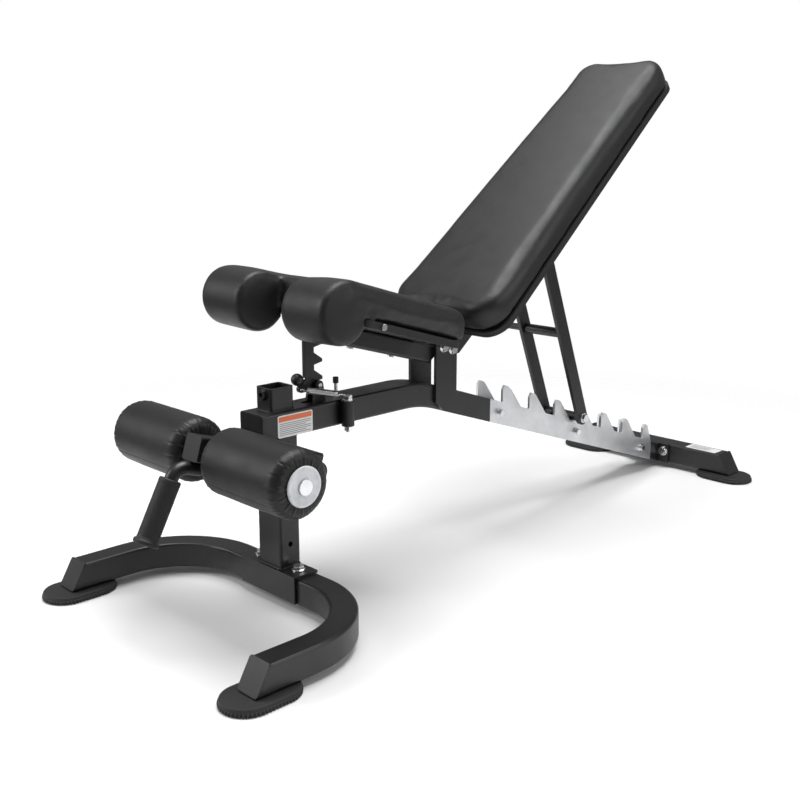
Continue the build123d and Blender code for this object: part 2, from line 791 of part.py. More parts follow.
def spring_bush():
    """Short tube welded upright on the beam's near side."""
    tube = rod_z(bush_x, bush_y, bush_radius, beam_bottom, beam_top)
    tube += block(bush_x - 6, bush_x + 6, bush_y, -beam_half, beam_bottom + 3, beam_top - 3)
    return tube - rod_z(bush_x, bush_y, bush_bolt_radius + bolt_clearance, beam_bottom - 5, beam_top + 5)


def spring_bolt():
    """Bolt down through the bush; the spring's rear hook loops round it under the washer."""
    place = Location((bush_x, bush_y, beam_top))
    return bolt_along(place, beam_height, bush_bolt_radius, 7.8)


def spring_ends():
    """Front and rear anchor points of the spring."""
    front = Vector(ladder_x - ladder_toe, -ladder_thickness / 2 - 8.6, ladder_z - ladder_bottom + 6)
    rear = Vector(bush_x - bush_bolt_radius, bush_y - 2, beam_top + washer_thickness + bolt_head_height + 2)
    return front, rear


def seat_spring():
    """Tension spring: a coiled body with a straight wire hook, drawn as a tube on a rod."""
    front, rear = spring_ends()
    line = rear - front
    unit = line.normalized()
    solid = extrude(Plane(front, z_dir=unit) * Circle(spring_wire), amount=line.length)
    coil = Plane(front + unit * spring_lead, z_dir=unit) * Circle(spring_radius)
    return solid + extrude(coil, amount=spring_coil)


# ================================================================ backrest
def back_place():
    """Backrest parts are drawn level around the pivot, the head to +X, then raised."""
    return Pos(back_pivot_x, 0, back_pivot_z) * Rot(0, -back_angle, 0)


def back_point(along, across):
    """World x and z of a point along and across the backrest."""
    a = math.radians(back_angle)
    x = back_pivot_x + along * math.cos(a) - across * math.sin(a)
    z = back_pivot_z + along * math.sin(a) + across * math.cos(a)
    return x, z


strut_x, strut_z = back_point(strut_along, strut_across)
catch_x = tooth_first + catch_tooth * tooth_pitch - catch_bar_radius - catch_gap
catch_z = falling_top(catch_x) + (catch_bar_radius + catch_gap) / math.cos(beam_drop)


def backrest_frame():
    """Rail under the board, with ears to the pivot bush and a bush for the strut."""
    half = back_rail_width / 2
    middle = back_plane - back_rail_thickness / 2
    frame = Pos(back_rail_start, 0, middle)
    long = back_rail_end - back_rail_start
    frame = frame * box_tube(long, back_rail_width, back_rail_thickness, tube_wall, 4)
    ear = make_hull(
        Circle(back_ear_radius).edges()
        + (Pos(25, middle) * Rectangle(22, back_rail_thickness - 4)).edges()
    )
    ear += Pos(70, middle) * Rectangle(70, back_rail_thickness - 4)
    ear_outer = half + ear_thickness
    for side in (-1, 1):
        y0, y1 = sorted((side * half, side * ear_outer))
        frame += slab(ear, y0, y1)
    frame += rod_y(0, 0, 10, -beam_half + side_gap, beam_half - side_gap)
    strut_inner = strut_half - strut_leg_thickness / 2 - side_gap
    frame += rod_y(strut_along, strut_across, 9.5, -strut_inner, strut_inner)
    frame -= rod_y(0, 0, pivot_bolt_radius + running_gap, -strut_half, strut_half)
    frame -= rod_y(strut_along, strut_across, bolt_radius + running_gap, -strut_half, strut_half)
    for x in back_screw_along:
        frame -= rod_z(x, 0, 3 + bolt_clearance, back_plane - back_rail_thickness - 1, back_plane + 1)
    return back_place() * frame


def pad_outline(inset, low_corner, top_corner):
    """Tapered outline of the backrest with rounded corners."""
    low = back_pad_low_half - inset
    top = back_pad_top_half - inset
    face = make_face(Polyline(
        (back_pad_start + inset, -low),
        (back_pad_end - inset, -top),
        (back_pad_end - inset, top),
        (back_pad_start + inset, low),
        close=True,
    ))
    face = fillet(face.vertices().group_by(Axis.X)[0], low_corner)
    return fillet(face.vertices().group_by(Axis.X)[-1], top_corner)


def backrest_board():
    """Plywood board behind the backrest pad."""
    board = extrude(pad_outline(back_board_inset, 42, 34), amount=back_board_thickness)
    board = Pos(0, 0, back_plane) * board
    for x in back_screw_along:
        board -= rod_z(x, 0, 3, back_plane - 1, back_plane + back_board_thickness - 3)
    return back_place() * board


def backrest_pad():
    """Tapered cushion on the board."""
    low = back_plane + back_board_thickness + 0.3
    pad = Pos(0, 0, low) * extrude(pad_outline(0, 52, 44), amount=back_pad_front - low)
    pad = fillet(pad.edges().group_by(Axis.Z)[-1], 16)
    return back_place() * pad


def back_screws():
    """Screws through the rail into the backrest board."""
    screws = []
    low = back_plane - back_rail_thickness
    for x in back_screw_along:
        head = rod_z(x, 0, 6, low - 3, low)
        screws.append(head + rod_z(x, 0, 3, low, back_plane + back_board_thickness - 3))
    return back_place() * Compound(children=screws)


# ================================================================ strut
strut_angle = math.degrees(math.atan2(strut_z - catch_z, strut_x - catch_x))
strut_length = math.hypot(strut_x - catch_x, strut_z - catch_z)


def strut_place():
    """Strut parts are drawn along +X from the catch bar, then stood up."""
    return Pos(catch_x, 0, catch_z) * Rot(0, -strut_angle, 0)


def strut_leg(side):
    """Flat bar from the strut pivot to the catch bar."""
    shape = SlotCenterToCenter(strut_length, strut_leg_width)
    shape = Pos(strut_length / 2, 0) * shape
    shape -= Circle(bolt_radius)
    shape -= Pos(strut_length, 0) * Circle(bolt_radius)
    shape -= Pos(strut_length * strut_handle_share, 0) * Circle(handle_rod_radius)
    middle = side * strut_half
    y0, y1 = middle - strut_leg_thickness / 2, middle + strut_leg_thickness / 2
    return strut_place() * slab(shape, y0, y1)


def catch_bar():
    """Round bar between the legs that drops into the ladder notches."""
    half = strut_half - strut_leg_thickness / 2
    bar = rod_y(0, 0, catch_bar_radius, -half, half)
    return strut_place() * (bar - rod_y(0, 0, bolt_radius, -half, half))


def strut_bolts():
    """Bolts through the strut legs: one in the catch bar, one in the backrest's bush."""
    half = strut_half + strut_leg_thickness / 2
    low = side_bolt(catch_x, catch_z, half, bolt_radius, 9.0)
    return Compound(children=[low, side_bolt(strut_x, strut_z, half, bolt_radius, 9.0)])


def strut_handle():
    """Cross tube between the legs with a hand rod out to the far side."""
    inner = strut_half - strut_leg_thickness / 2
    x = strut_length * strut_handle_share
    bar = rod_y(x, 0, handle_radius, -inner, inner)
    bar += rod_y(x, 0, handle_rod_radius, -strut_half - strut_leg_thickness / 2, handle_reach)
    return strut_place() * bar


# ================================================================ leg holder
def leg_tube():
    """Sliding tube with pin holes on its near side and the axle near its front."""
    long = leg_rear + leg_front
    tube = socket_place(-leg_rear) * box_tube(long, leg_tube_width, leg_tube_height, tube_wall)
    for k in (-1, 0, 1):
        spot = socket_place(-k * pin_hole_pitch) * Rot(90, 0, 0) * Cylinder(pin_radius + 0.3, 30)
        tube -= Pos(0, -leg_tube_width / 2, 0) * spot
    return tube - axle_shape(axle_radius)


def axle_shape(radius):
    """Cylinder along the roller axle."""
    spot = socket_place(axle_along) * Pos(0, 0, axle_offset)
    return spot * Rot(90, 0, 0) * Cylinder(radius, 2 * axle_half)


def roller_axle():
    """Tube across the leg tube that carries both rollers."""
    return axle_shape(axle_radius) - axle_shape(axle_radius - 2.5)


def axle_spot(y):
    """Location on the axle, local Z along +Y."""
    spot = (socket_place(axle_along) * Pos(0, 0, axle_offset)).position
    return Location((spot.X, y, spot.Z), (-90, 0, 0))


def ring(inner, outer, y0, y1):
    """Ring around the axle between y0 and y1."""
    length = y1 - y0
    tube = Pos(0, 0, length / 2) * (Cylinder(outer, length) - Cylinder(inner, length))
    return axle_spot(y0) * tube


def foam_roller(side):
    """Upholstered foam sleeve with rounded ends."""
    y0, y1 = sorted((side * roller_inner, side * roller_outer))
    sleeve = ring(roller_core_radius, roller_radius, y0, y1)
    outer_edges = sleeve.edges().filter_by(GeomType.CIRCLE).filter_by(lambda e: e.radius > roller_radius - 1)
    return fillet(outer_edges, 12)


def roller_hub(side):
    """Plastic bush inside the foam, with the end disc outside it, that turns on the axle."""
    inner = side * (roller_inner - 2)
    outer = side * roller_outer
    edge = side * (roller_outer + roller_disc_thickness)
    y0, y1 = sorted((inner, edge))
    hub = ring(axle_radius + running_gap, roller_core_radius, y0, y1)
    y0, y1 = sorted((outer, edge))
    return hub + ring(axle_radius + running_gap, roller_disc_radius, y0, y1)


def axle_screw(side):
    """Flanged screw in the end of the axle that keeps a roller on."""
    y0, y1 = sorted((side * (axle_half + side_gap), side * (axle_half + side_gap + 2.5)))
    head = axle_spot(y0) * Pos(0, 0, 1.25) * Cylinder(12, 2.5)
    s0, s1 = sorted((side * (axle_half + side_gap), side * (axle_half - 14)))
    return head + axle_spot(s0) * Pos(0, 0, (s1 - s0) / 2) * Cylinder(axle_radius - 2.5, s1 - s0)


def leg_tube_cap(at_front):
    """Plastic plug in one end of the leg tube."""
    along = leg_front if at_front else -leg_rear - 3
    face = Plane.YZ * RectangleRounded(leg_tube_width, leg_tube_height, tube_corner)
    cap = socket_place(along) * extrude(face, amount=3)
    spigot_width = leg_tube_width - 2 * (tube_wall + plug_gap)
    spigot_height = leg_tube_height - 2 * (tube_wall + plug_gap)
    spigot = Plane.YZ * RectangleRounded(spigot_width, spigot_height, plug_corner)
    start = along - 10 if at_front else along + 3
    return cap + socket_place(start) * extrude(spigot, amount=10)


def stem_path():
    """Centre line of the grip stem: forward under the tube, then down."""
    under = -leg_tube_height / 2 - stem_radius
    start = (socket_place(leg_front - 22) * Pos(0, 0, under)).position
    bend = (socket_place(leg_front + 24) * Pos(0, 0, under)).position
    down = Vector(-0.475, 0, -0.88).normalized()
    return FilletPolyline(start, bend, bend + down * (grip_length + 20), radius=24), down


def grip_stem():
    """Bent round bar welded under the front of the leg tube."""
    path, _ = stem_path()
    section = Plane(path @ 0, z_dir=path % 0) * Circle(stem_radius)
    return sweep(section, path=path)


def grip():
    """Rubber sleeve with a flange at its lower end."""
    path, down = stem_path()
    end = path @ 1
    place = Plane(end + down * 3, z_dir=down * -1)
    sleeve = extrude(place * Circle(grip_radius), amount=grip_length + 3)
    sleeve += extrude(place * Circle(grip_flange_radius), amount=7)
    bore = Plane(end, z_dir=down * -1)
    return sleeve - extrude(bore * Circle(stem_radius), amount=grip_length + 10)


def pull_pin_barrel():
    """Threaded barrel welded to the post's near side."""
    outer = rod_y(base_mid_x, socket_z, pin_barrel_radius, -pin_barrel_end, -post_width / 2)
    return outer - rod_y(base_mid_x, socket_z, pin_radius + running_gap, -pin_barrel_end - 1, 0)


def pull_pin():
    """Plunger that reaches from the sleeve wall to the knob."""
    tip = -leg_tube_width / 2 - 0.3
    return rod_y(base_mid_x, socket_z, pin_radius, -pin_knob_near - 20, tip)


def pull_knob():
    """Knob on the plunger with a narrow neck."""
    neck = rod_y(base_mid_x, socket_z, 9, -pin_knob_near, -pin_knob_near + 12)
    ball = rod_y(base_mid_x, socket_z, pin_knob_radius, -pin_knob_near - pin_knob_length, -pin_knob_near)
    ball = fillet(ball.edges().filter_by(GeomType.CIRCLE), 6)
    return neck + ball - rod_y(base_mid_x, socket_z, pin_radius, -pin_knob_near - 20, 0)


# ================================================================ assembly
keep("front_base", front_base())
keep("rear_base", rear_base())
for label, side in (("near", -1), ("far", 1)):
    keep(f"front_foot_{label}", foot(front_foot_x, side * base_half_width, False))
    keep(f"rear_foot_{label}", foot(rear_tube_x - 3, side * rear_half_width, True))
    keep(f"pivot_side_plate_{label}", pivot_side_plate(side))
    keep(f"catch_ladder_{label}", ladder_side(side))
    keep(f"strut_leg_{label}", strut_leg(side))
    keep(f"foam_roller_{label}", foam_roller(side))
    keep(f"roller_hub_{label}", roller_hub(side))
keep("front_end_plates", Compound(children=[front_end_plate(-1), front_end_plate(1)]))
keep("rear_end_plates", Compound(children=[rear_end_plate(-1), rear_end_plate(1)]))
keep("axle_screws", Compound(children=[axle_screw(-1), axle_screw(1)]))
keep("catch_lugs", Compound(children=[catch_lug(-1), catch_lug(1)]))
keep("leg_tube_caps", Compound(children=[leg_tube_cap(True), leg_tube_cap(False)]))
singles = (
    foot_screws, front_saddle, mount_bolts, front_post, leg_socket, main_beam, beam_cap,
    accessory_receiver, ladder_bolts, rear_mount, seat_frame, seat_board,
    seat_screws, seat_pad, seat_ladder, ladder_pivot_bolt, release_stem, release_knob,
    catch_pin, seat_stop_stud, seat_stop_cap, spring_bush, spring_bolt, seat_spring,
    backrest_frame, backrest_board, backrest_pad, back_screws, catch_bar, strut_bolts,
    strut_handle, pivot_bolts, leg_tube, roller_axle, grip_stem, grip,
    pull_pin_barrel, pull_pin, pull_knob,
)
for maker in singles:
    keep(maker.__name__, maker())

os.makedirs("parts", exist_ok=True)
for name, shape in parts.items():
    export_step(shape, f"parts/{name}.step")
print(len(parts), "parts written")
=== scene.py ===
import json
import math

import bmesh
import bpy
import numpy as np
from mathutils import Matrix, Vector


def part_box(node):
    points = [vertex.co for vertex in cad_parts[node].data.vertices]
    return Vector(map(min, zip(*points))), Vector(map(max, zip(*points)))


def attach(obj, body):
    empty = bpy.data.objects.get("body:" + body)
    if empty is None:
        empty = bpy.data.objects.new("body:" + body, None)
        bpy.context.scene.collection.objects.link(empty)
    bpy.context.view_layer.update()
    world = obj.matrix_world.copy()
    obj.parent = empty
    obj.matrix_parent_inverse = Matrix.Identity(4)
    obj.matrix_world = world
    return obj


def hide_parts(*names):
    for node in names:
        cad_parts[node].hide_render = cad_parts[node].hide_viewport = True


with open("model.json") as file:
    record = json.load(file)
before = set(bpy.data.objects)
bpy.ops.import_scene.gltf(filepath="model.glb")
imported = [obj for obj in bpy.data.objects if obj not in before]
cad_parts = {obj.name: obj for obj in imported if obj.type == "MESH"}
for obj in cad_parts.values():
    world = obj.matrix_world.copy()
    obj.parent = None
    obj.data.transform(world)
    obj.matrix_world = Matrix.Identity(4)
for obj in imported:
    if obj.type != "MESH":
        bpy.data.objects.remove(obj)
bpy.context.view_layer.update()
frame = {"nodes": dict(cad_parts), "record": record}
record = frame["record"]

# Decline sit-up bench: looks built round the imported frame.  Lengths in metres.
# The seat and the backrest are drawn in their own flat coordinates: along the pad,
# across the bench, and up out of the pad.  Then they are placed at their angle.

MM = 0.001
SEAT_PIVOT = Vector((-0.085, 0.0, 0.391))
SEAT_TILT = math.radians(16.0)
BACK_PIVOT = Vector((-0.061, 0.0, 0.384))
BACK_ANGLE = math.radians(39.0)
SLOPE = math.radians(17.5)
rng = np.random.default_rng(7)


# ---------------------------------------------------------------- placing
def seat_to_world(p):
    """Points given forward of the seat pivot, across, and up out of the seat."""
    a, y, h = p[:, 0], p[:, 1], p[:, 2]
    c, s = math.cos(SEAT_TILT), math.sin(SEAT_TILT)
    x = SEAT_PIVOT.x - a * c + h * s
    z = SEAT_PIVOT.z + a * s + h * c
    return np.stack([x, y, z], 1)


def back_to_world(p):
    """Points given up the backrest from its pivot, across, and out of its face."""
    a, y, h = p[:, 0], p[:, 1], p[:, 2]
    c, s = math.cos(BACK_ANGLE), math.sin(BACK_ANGLE)
    x = BACK_PIVOT.x + a * c - h * s
    z = BACK_PIVOT.z + a * s + h * c
    return np.stack([x, y, z], 1)


# ---------------------------------------------------------------- meshes
def make(name, points, faces, material, smooth=True):
    """New mesh object from points in world metres."""
    mesh = bpy.data.meshes.new(name)
    mesh.from_pydata([tuple(p) for p in np.asarray(points, float)], [], [tuple(f) for f in faces])
    mesh.validate()
    work = bmesh.new()
    work.from_mesh(mesh)
    bmesh.ops.remove_doubles(work, verts=work.verts, dist=1e-6)
    bmesh.ops.recalc_face_normals(work, faces=work.faces)
    work.to_mesh(mesh)
    work.free()
    mesh.polygons.foreach_set("use_smooth", [smooth] * len(mesh.polygons))
    obj = bpy.data.objects.new(name, mesh)
    bpy.context.scene.collection.objects.link(obj)
    mesh.materials.append(material)
    return obj


def rings_to_mesh(rings, closed_ends=True):
    """Faces joining equal closed rings, with a fan over each end."""
    n = len(rings[0])
    points = np.concatenate(rings)
    faces = []
    for k in range(len(rings) - 1):
        for i in range(n):
            j = (i + 1) % n
            faces.append((k * n + i, k * n + j, (k + 1) * n + j, (k + 1) * n + i))
    if closed_ends:
        low, high = len(points), len(points) + 1
        points = np.concatenate([points, rings[0].mean(0)[None], rings[-1].mean(0)[None]])
        last = (len(rings) - 1) * n
        for i in range(n):
            j = (i + 1) % n
            faces.append((j, i, low))
            faces.append((last + i, last + j, high))
    return points, faces


def rounded(corners, radii, steps=10):
    """Closed outline with each corner replaced by an arc of its own radius."""
    out = []
    count = len(corners)
    for i, radius in enumerate(radii):
        p = np.array(corners[i], float)
        a = np.array(corners[i - 1], float) - p
        b = np.array(corners[(i + 1) % count], float) - p
        a, b = a / np.linalg.norm(a), b / np.linalg.norm(b)
        half = math.acos(max(-1.0, min(1.0, float(a @ b)))) / 2
        if radius <= 0 or half > math.pi / 2 - 1e-3:
            out.append(p)
            continue
        reach = radius / math.tan(half)
        middle = (a + b) / np.linalg.norm(a + b)
        centre = p + middle * radius / math.sin(half)
        start, end = p + a * reach - centre, p + b * reach - centre
        t0, t1 = math.atan2(start[1], start[0]), math.atan2(end[1], end[0])
        turn = (t1 - t0 + math.pi) % (2 * math.pi) - math.pi
        for k in range(steps + 1):
            t = t0 + turn * k / steps
            out.append(centre + radius * np.array([math.cos(t), math.sin(t)]))
    return np.array(out)


def resampled(outline, count):
    """The same closed outline with evenly spaced points."""
    ring = np.concatenate([outline, outline[:1]])
    step = np.linalg.norm(np.diff(ring, axis=0), axis=1)
    where = np.concatenate([[0], np.cumsum(step)])
    t = np.linspace(0, where[-1], count, endpoint=False)
    return np.stack([np.interp(t, where, ring[:, 0]), np.interp(t, where, ring[:, 1])], 1)


def inward(outline, distance):
    """Outline moved inwards along its normals."""
    tangent = np.roll(outline, -1, 0) - np.roll(outline, 1, 0)
    tangent /= np.linalg.norm(tangent, axis=1)[:, None]
    normal = np.stack([-tangent[:, 1], tangent[:, 0]], 1)
    x, y = outline[:, 0], outline[:, 1]
    area = 0.5 * np.sum(x * np.roll(y, -1) - np.roll(x, -1) * y)
    return outline + normal * distance * (1 if area > 0 else -1)


def tube(path, radius, sides=10, closed=False):
    """Round tube along a list of points."""
    path = np.asarray(path, float)
    tangent = np.gradient(path, axis=0)
    tangent /= np.linalg.norm(tangent, axis=1)[:, None]
    normal = np.cross(tangent[0], (0.31, 0.87, 0.38))
    rings = []
    for p, t in zip(path, tangent):
        normal = normal - t * (normal @ t)
        normal = normal / np.linalg.norm(normal)
        other = np.cross(t, normal)
        turn = np.linspace(0, 2 * math.pi, sides, endpoint=False)
        rings.append(p + radius * (np.cos(turn)[:, None] * normal + np.sin(turn)[:, None] * other))
    return rings_to_mesh(rings)


def lathe(profile, centre, axis, sides=72):
    """Closed turned shape from (radius, distance along axis) pairs."""
    axis = np.array(axis, float) / np.linalg.norm(axis)
    side = np.cross(axis, (0.0, 0.0, 1.0) if abs(axis[2]) < 0.9 else (1.0, 0.0, 0.0))
    side /= np.linalg.norm(side)
    other = np.cross(axis, side)
    turn = np.linspace(0, 2 * math.pi, sides, endpoint=False)
    spokes = np.cos(turn)[:, None] * side + np.sin(turn)[:, None] * other
    return rings_to_mesh([np.array(centre) + axis * h + spokes * r for r, h in profile])


# ---------------------------------------------------------------- materials
def nodes_of(name):
    """New node material with its Principled shader."""
    mat = bpy.data.materials.new(name)
    mat.use_nodes = True
    tree = mat.node_tree
    return mat, tree, tree.nodes["Principled BSDF"]


def link(tree, a, b):
    tree.links.new(a, b)


def coords(tree, scale=(1, 1, 1)):
    """Object coordinates through a scale."""
    source = tree.nodes.new("ShaderNodeTexCoord")
    mapping = tree.nodes.new("ShaderNodeMapping")
    mapping.inputs["Scale"].default_value = scale
    link(tree, source.outputs["Object"], mapping.inputs["Vector"])
    return mapping.outputs["Vector"]


def noise(tree, vector, scale, detail=4.0, rough=0.5):
    n = tree.nodes.new("ShaderNodeTexNoise")
    n.inputs["Scale"].default_value = scale
    n.inputs["Detail"].default_value = detail
    n.inputs["Roughness"].default_value = rough
    link(tree, vector, n.inputs["Vector"])
    return n.outputs["Fac"]


def remap(tree, value, low, high, to_low, to_high):
    m = tree.nodes.new("ShaderNodeMapRange")
    for name, v in zip(("From Min", "From Max", "To Min", "To Max"), (low, high, to_low, to_high)):
        m.inputs[name].default_value = v
    link(tree, value, m.inputs["Value"])
    return m.outputs["Result"]


def mix(tree, factor, dark, light):
    m = tree.nodes.new("ShaderNodeMix")
    m.data_type = "RGBA"
    m.inputs["A"].default_value = (*dark, 1)
    m.inputs["B"].default_value = (*light, 1)
    link(tree, factor, m.inputs["Factor"])
    return m.outputs["Result"]


def bump(tree, shader, height, strength, distance, radius=0.0):
    """Bump from a height, over a rounded-edge normal when radius is given."""
    b = tree.nodes.new("ShaderNodeBump")
    b.inputs["Strength"].default_value = strength
    b.inputs["Distance"].default_value = distance
    link(tree, height, b.inputs["Height"])
    if radius:
        r = tree.nodes.new("ShaderNodeBevel")
        r.samples = 4
        r.inputs["Radius"].default_value = radius
        link(tree, r.outputs["Normal"], b.inputs["Normal"])
    link(tree, b.outputs["Normal"], shader.inputs["Normal"])
    return b


def powder_coat():
    """Satin black powder coat: fine orange peel, cloudy gloss, edges lightened as a painted highlight."""
    mat, tree, shader = nodes_of("black_powder_coat")
    v = coords(tree)
    peel = noise(tree, v, 1100.0, 2.0)
    cloud = noise(tree, v, 26.0, 5.0)
    speck = noise(tree, v, 420.0, 3.0)
    base = mix(tree, remap(tree, speck, 0.4, 0.7, 0, 1), (0.0042, 0.0042, 0.0046), (0.0085, 0.0085, 0.0092))
    # Rounded edges found from the bevel normal; the base colour is lightened there as a painted edge highlight,
    # not wear.
    rim = tree.nodes.new("ShaderNodeBevel")
    rim.samples = 4
    rim.inputs["Radius"].default_value = 0.0012
    flat = tree.nodes.new("ShaderNodeNewGeometry")
    dot = tree.nodes.new("ShaderNodeVectorMath")
    dot.operation = "DOT_PRODUCT"
    link(tree, rim.outputs["Normal"], dot.inputs[0])
    link(tree, flat.outputs["True Normal"], dot.inputs[1])
    edge = remap(tree, dot.outputs["Value"], 0.995, 0.80, 0.0, 0.5)
    painted_edge_highlight = tree.nodes.new("ShaderNodeMix")
    painted_edge_highlight.data_type = "RGBA"
    link(tree, edge, painted_edge_highlight.inputs["Factor"])
    link(tree, base, painted_edge_highlight.inputs["A"])
    painted_edge_highlight.inputs["B"].default_value = (0.022, 0.022, 0.024, 1)
    link(tree, painted_edge_highlight.outputs["Result"], shader.inputs["Base Color"])
    link(tree, remap(tree, cloud, 0.3, 0.7, 0.36, 0.48), shader.inputs["Roughness"])
    shader.inputs["Coat Weight"].default_value = 0.12
    shader.inputs["Coat Roughness"].default_value = 0.3
    bump(tree, shader, peel, 0.16, 0.0003, 0.0014)
    return mat


def metal(name, colour, rough_low, rough_high, stretch, strength):
    """Bare or plated steel with fine lines along the longest scale."""
    mat, tree, shader = nodes_of(name)
    v = coords(tree, stretch)
    lines = noise(tree, v, 300.0, 4.0)
    stain = noise(tree, coords(tree), 22.0, 5.0, 0.6)
    dull = tuple(c * 0.82 for c in colour)
    link(tree, mix(tree, remap(tree, stain, 0.35, 0.7, 0, 1), colour, dull), shader.inputs["Base Color"])
    shader.inputs["Metallic"].default_value = 1.0
    link(tree, remap(tree, stain, 0.3, 0.7, rough_low, rough_high), shader.inputs["Roughness"])
    bump(tree, shader, lines, strength, 0.0002, 0.0008)
    return mat


def vinyl(name="black_vinyl", grain=900.0):
    """Black upholstery vinyl with a pebbled grain and soft sheen."""
    mat, tree, shader = nodes_of(name)
    v = coords(tree)
    cells = tree.nodes.new("ShaderNodeTexVoronoi")
    cells.feature = "DISTANCE_TO_EDGE"
    cells.inputs["Scale"].default_value = grain
    link(tree, v, cells.inputs["Vector"])
    crease = remap(tree, cells.outputs["Distance"], 0.0, 0.22, 0.0, 1.0)
    soft = noise(tree, v, 30.0, 5.0)
    link(tree, mix(tree, crease, (0.0038, 0.0038, 0.0044), (0.0085, 0.0085, 0.0100)), shader.inputs["Base Color"])
    link(tree, remap(tree, soft, 0.3, 0.7, 0.40, 0.52), shader.inputs["Roughness"])
    shader.inputs["Specular IOR Level"].default_value = 0.42
    shader.inputs["Sheen Weight"].default_value = 0.02
    shader.inputs["Sheen Roughness"].default_value = 0.5
    b = bump(tree, shader, crease, 0.22, 0.00025)
    wide = tree.nodes.new("ShaderNodeBump")
    wide.inputs["Strength"].default_value = 0.12
    wide.inputs["Distance"].default_value = 0.002
    link(tree, noise(tree, v, 14.0, 3.0), wide.inputs["Height"])
    link(tree, wide.outputs["Normal"], b.inputs["Normal"])
    return mat


def moulded(name, colour, rough, grain, strength):
    """Moulded rubber or plastic with a fine surface texture."""
    mat, tree, shader = nodes_of(name)
    v = coords(tree)
    fine = noise(tree, v, grain, 3.0)
    cloud = noise(tree, v, 40.0, 4.0)
    dull = tuple(c * 0.7 for c in colour)
    link(tree, mix(tree, remap(tree, cloud, 0.3, 0.7, 0, 1), dull, colour), shader.inputs["Base Color"])
    link(tree, remap(tree, cloud, 0.3, 0.7, rough - 0.05, rough + 0.07), shader.inputs["Roughness"])
    bump(tree, shader, fine, strength, 0.0003, 0.0008)
    return mat


def flat_print(name, colour, rough=0.35):
    """Printed sticker colour under a thin gloss film."""
    mat, tree, shader = nodes_of(name)
    speck = noise(tree, coords(tree), 500.0, 2.0)
    dull = tuple(c * 0.93 for c in colour)
    link(tree, mix(tree, remap(tree, speck, 0.4, 0.6, 0, 1), dull, colour), shader.inputs["Base Color"])
    shader.inputs["Roughness"].default_value = rough
    shader.inputs["Coat Weight"].default_value = 0.3
    return mat


COAT = powder_coat()
LADDER = metal("zinc_plated_plate", (0.80, 0.81, 0.83), 0.34, 0.46, (1, 6, 6), 0.10)
CHROME = metal("bright_plating", (0.82, 0.82, 0.84), 0.14, 0.24, (1, 1, 1), 0.05)
VINYL = vinyl()
RUBBER = moulded("black_rubber", (0.014, 0.014, 0.015), 0.62, 700.0, 0.3)
PLASTIC = moulded("black_plastic", (0.012, 0.012, 0.013), 0.42, 900.0, 0.15)
WHITE = moulded("white_plastic", (0.84, 0.85, 0.88), 0.30, 500.0, 0.06)
BOARD = moulded("black_board", (0.010, 0.010, 0.011), 0.7, 260.0, 0.35)
STICKER = flat_print("label_white", (0.86, 0.86, 0.86))
ORANGE = flat_print("label_orange", (0.85, 0.17, 0.05))
INK = flat_print("label_grey_ink", (0.23, 0.23, 0.25))
by_slot = {
    "black_steel": COAT, "ladder_steel": LADDER, "chrome": CHROME, "vinyl": VINYL,
    "rubber": RUBBER, "black_plastic": PLASTIC, "white_plastic": WHITE, "board": BOARD,
}
for part in record["subparts"]:
    node = frame["nodes"][part["node"]]
    node.data.materials.clear()
    node.data.materials.append(by_slot[part["material_slot"]])


# ---------------------------------------------------------------- padding
def inflate(obj, voxel, cap, pressure=4.0):
    """Swells a closed shape as stuffed cloth, each point moving at most cap."""
    work = obj.copy()
    work.data = obj.data.copy()
    bpy.context.scene.collection.objects.link(work)
    bpy.context.view_layer.objects.active = work
    for other in bpy.context.selected_objects:
        other.select_set(False)
    work.select_set(True)
    remesh = work.modifiers.new("voxels", "REMESH")
    remesh.mode = "VOXEL"
    remesh.voxel_size = voxel
    bpy.ops.object.modifier_apply(modifier=remesh.name)
    relax = work.modifiers.new("relax", "SMOOTH")
    relax.factor = 0.5
    relax.iterations = 3
    bpy.ops.object.modifier_apply(modifier=relax.name)
    start = np.zeros(len(work.data.vertices) * 3)
    work.data.vertices.foreach_get("co", start)
    start = start.reshape(-1, 3)
    cloth = work.modifiers.new("cloth", "CLOTH")
    cloth.settings.quality = 5
    cloth.settings.use_pressure = True
    cloth.settings.uniform_pressure_force = pressure
    cloth.settings.tension_stiffness = 40
    cloth.settings.compression_stiffness = 40
    cloth.settings.effector_weights.gravity = 0
    cloth.point_cache.frame_start = 1
    cloth.point_cache.frame_end = 20
    for f in range(1, 21):
        bpy.context.scene.frame_set(f)
    view = bpy.context.evaluated_depsgraph_get()
    got = work.evaluated_get(view)
    moved = np.zeros(len(got.data.vertices) * 3)
    got.data.vertices.foreach_get("co", moved)
    step = moved.reshape(-1, 3) - start
    length = np.linalg.norm(step, axis=1)
    held = start + step * np.minimum(1.0, cap / np.maximum(length, 1e-9))[:, None]
    work.modifiers.remove(cloth)
    work.data.vertices.foreach_set("co", held.ravel())
    work.data.update()
    bpy.context.scene.frame_set(1)
    soft = work.modifiers.new("soften", "SMOOTH")
    soft.factor = 0.5
    soft.iterations = 4
    bpy.ops.object.modifier_apply(modifier=soft.name)
    name = obj.name
    bpy.data.objects.remove(obj)
    work.name = name
    work.data.polygons.foreach_set("use_smooth", [True] * len(work.data.polygons))
    return work


def finish_pad(obj, body, node):
    """Smooth, place on its body and stand for the plain CAD solid."""
    sub = obj.modifiers.new("smooth", "SUBSURF")
    sub.levels = 1
    sub.render_levels = 1
    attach(obj, body)
    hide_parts(node)


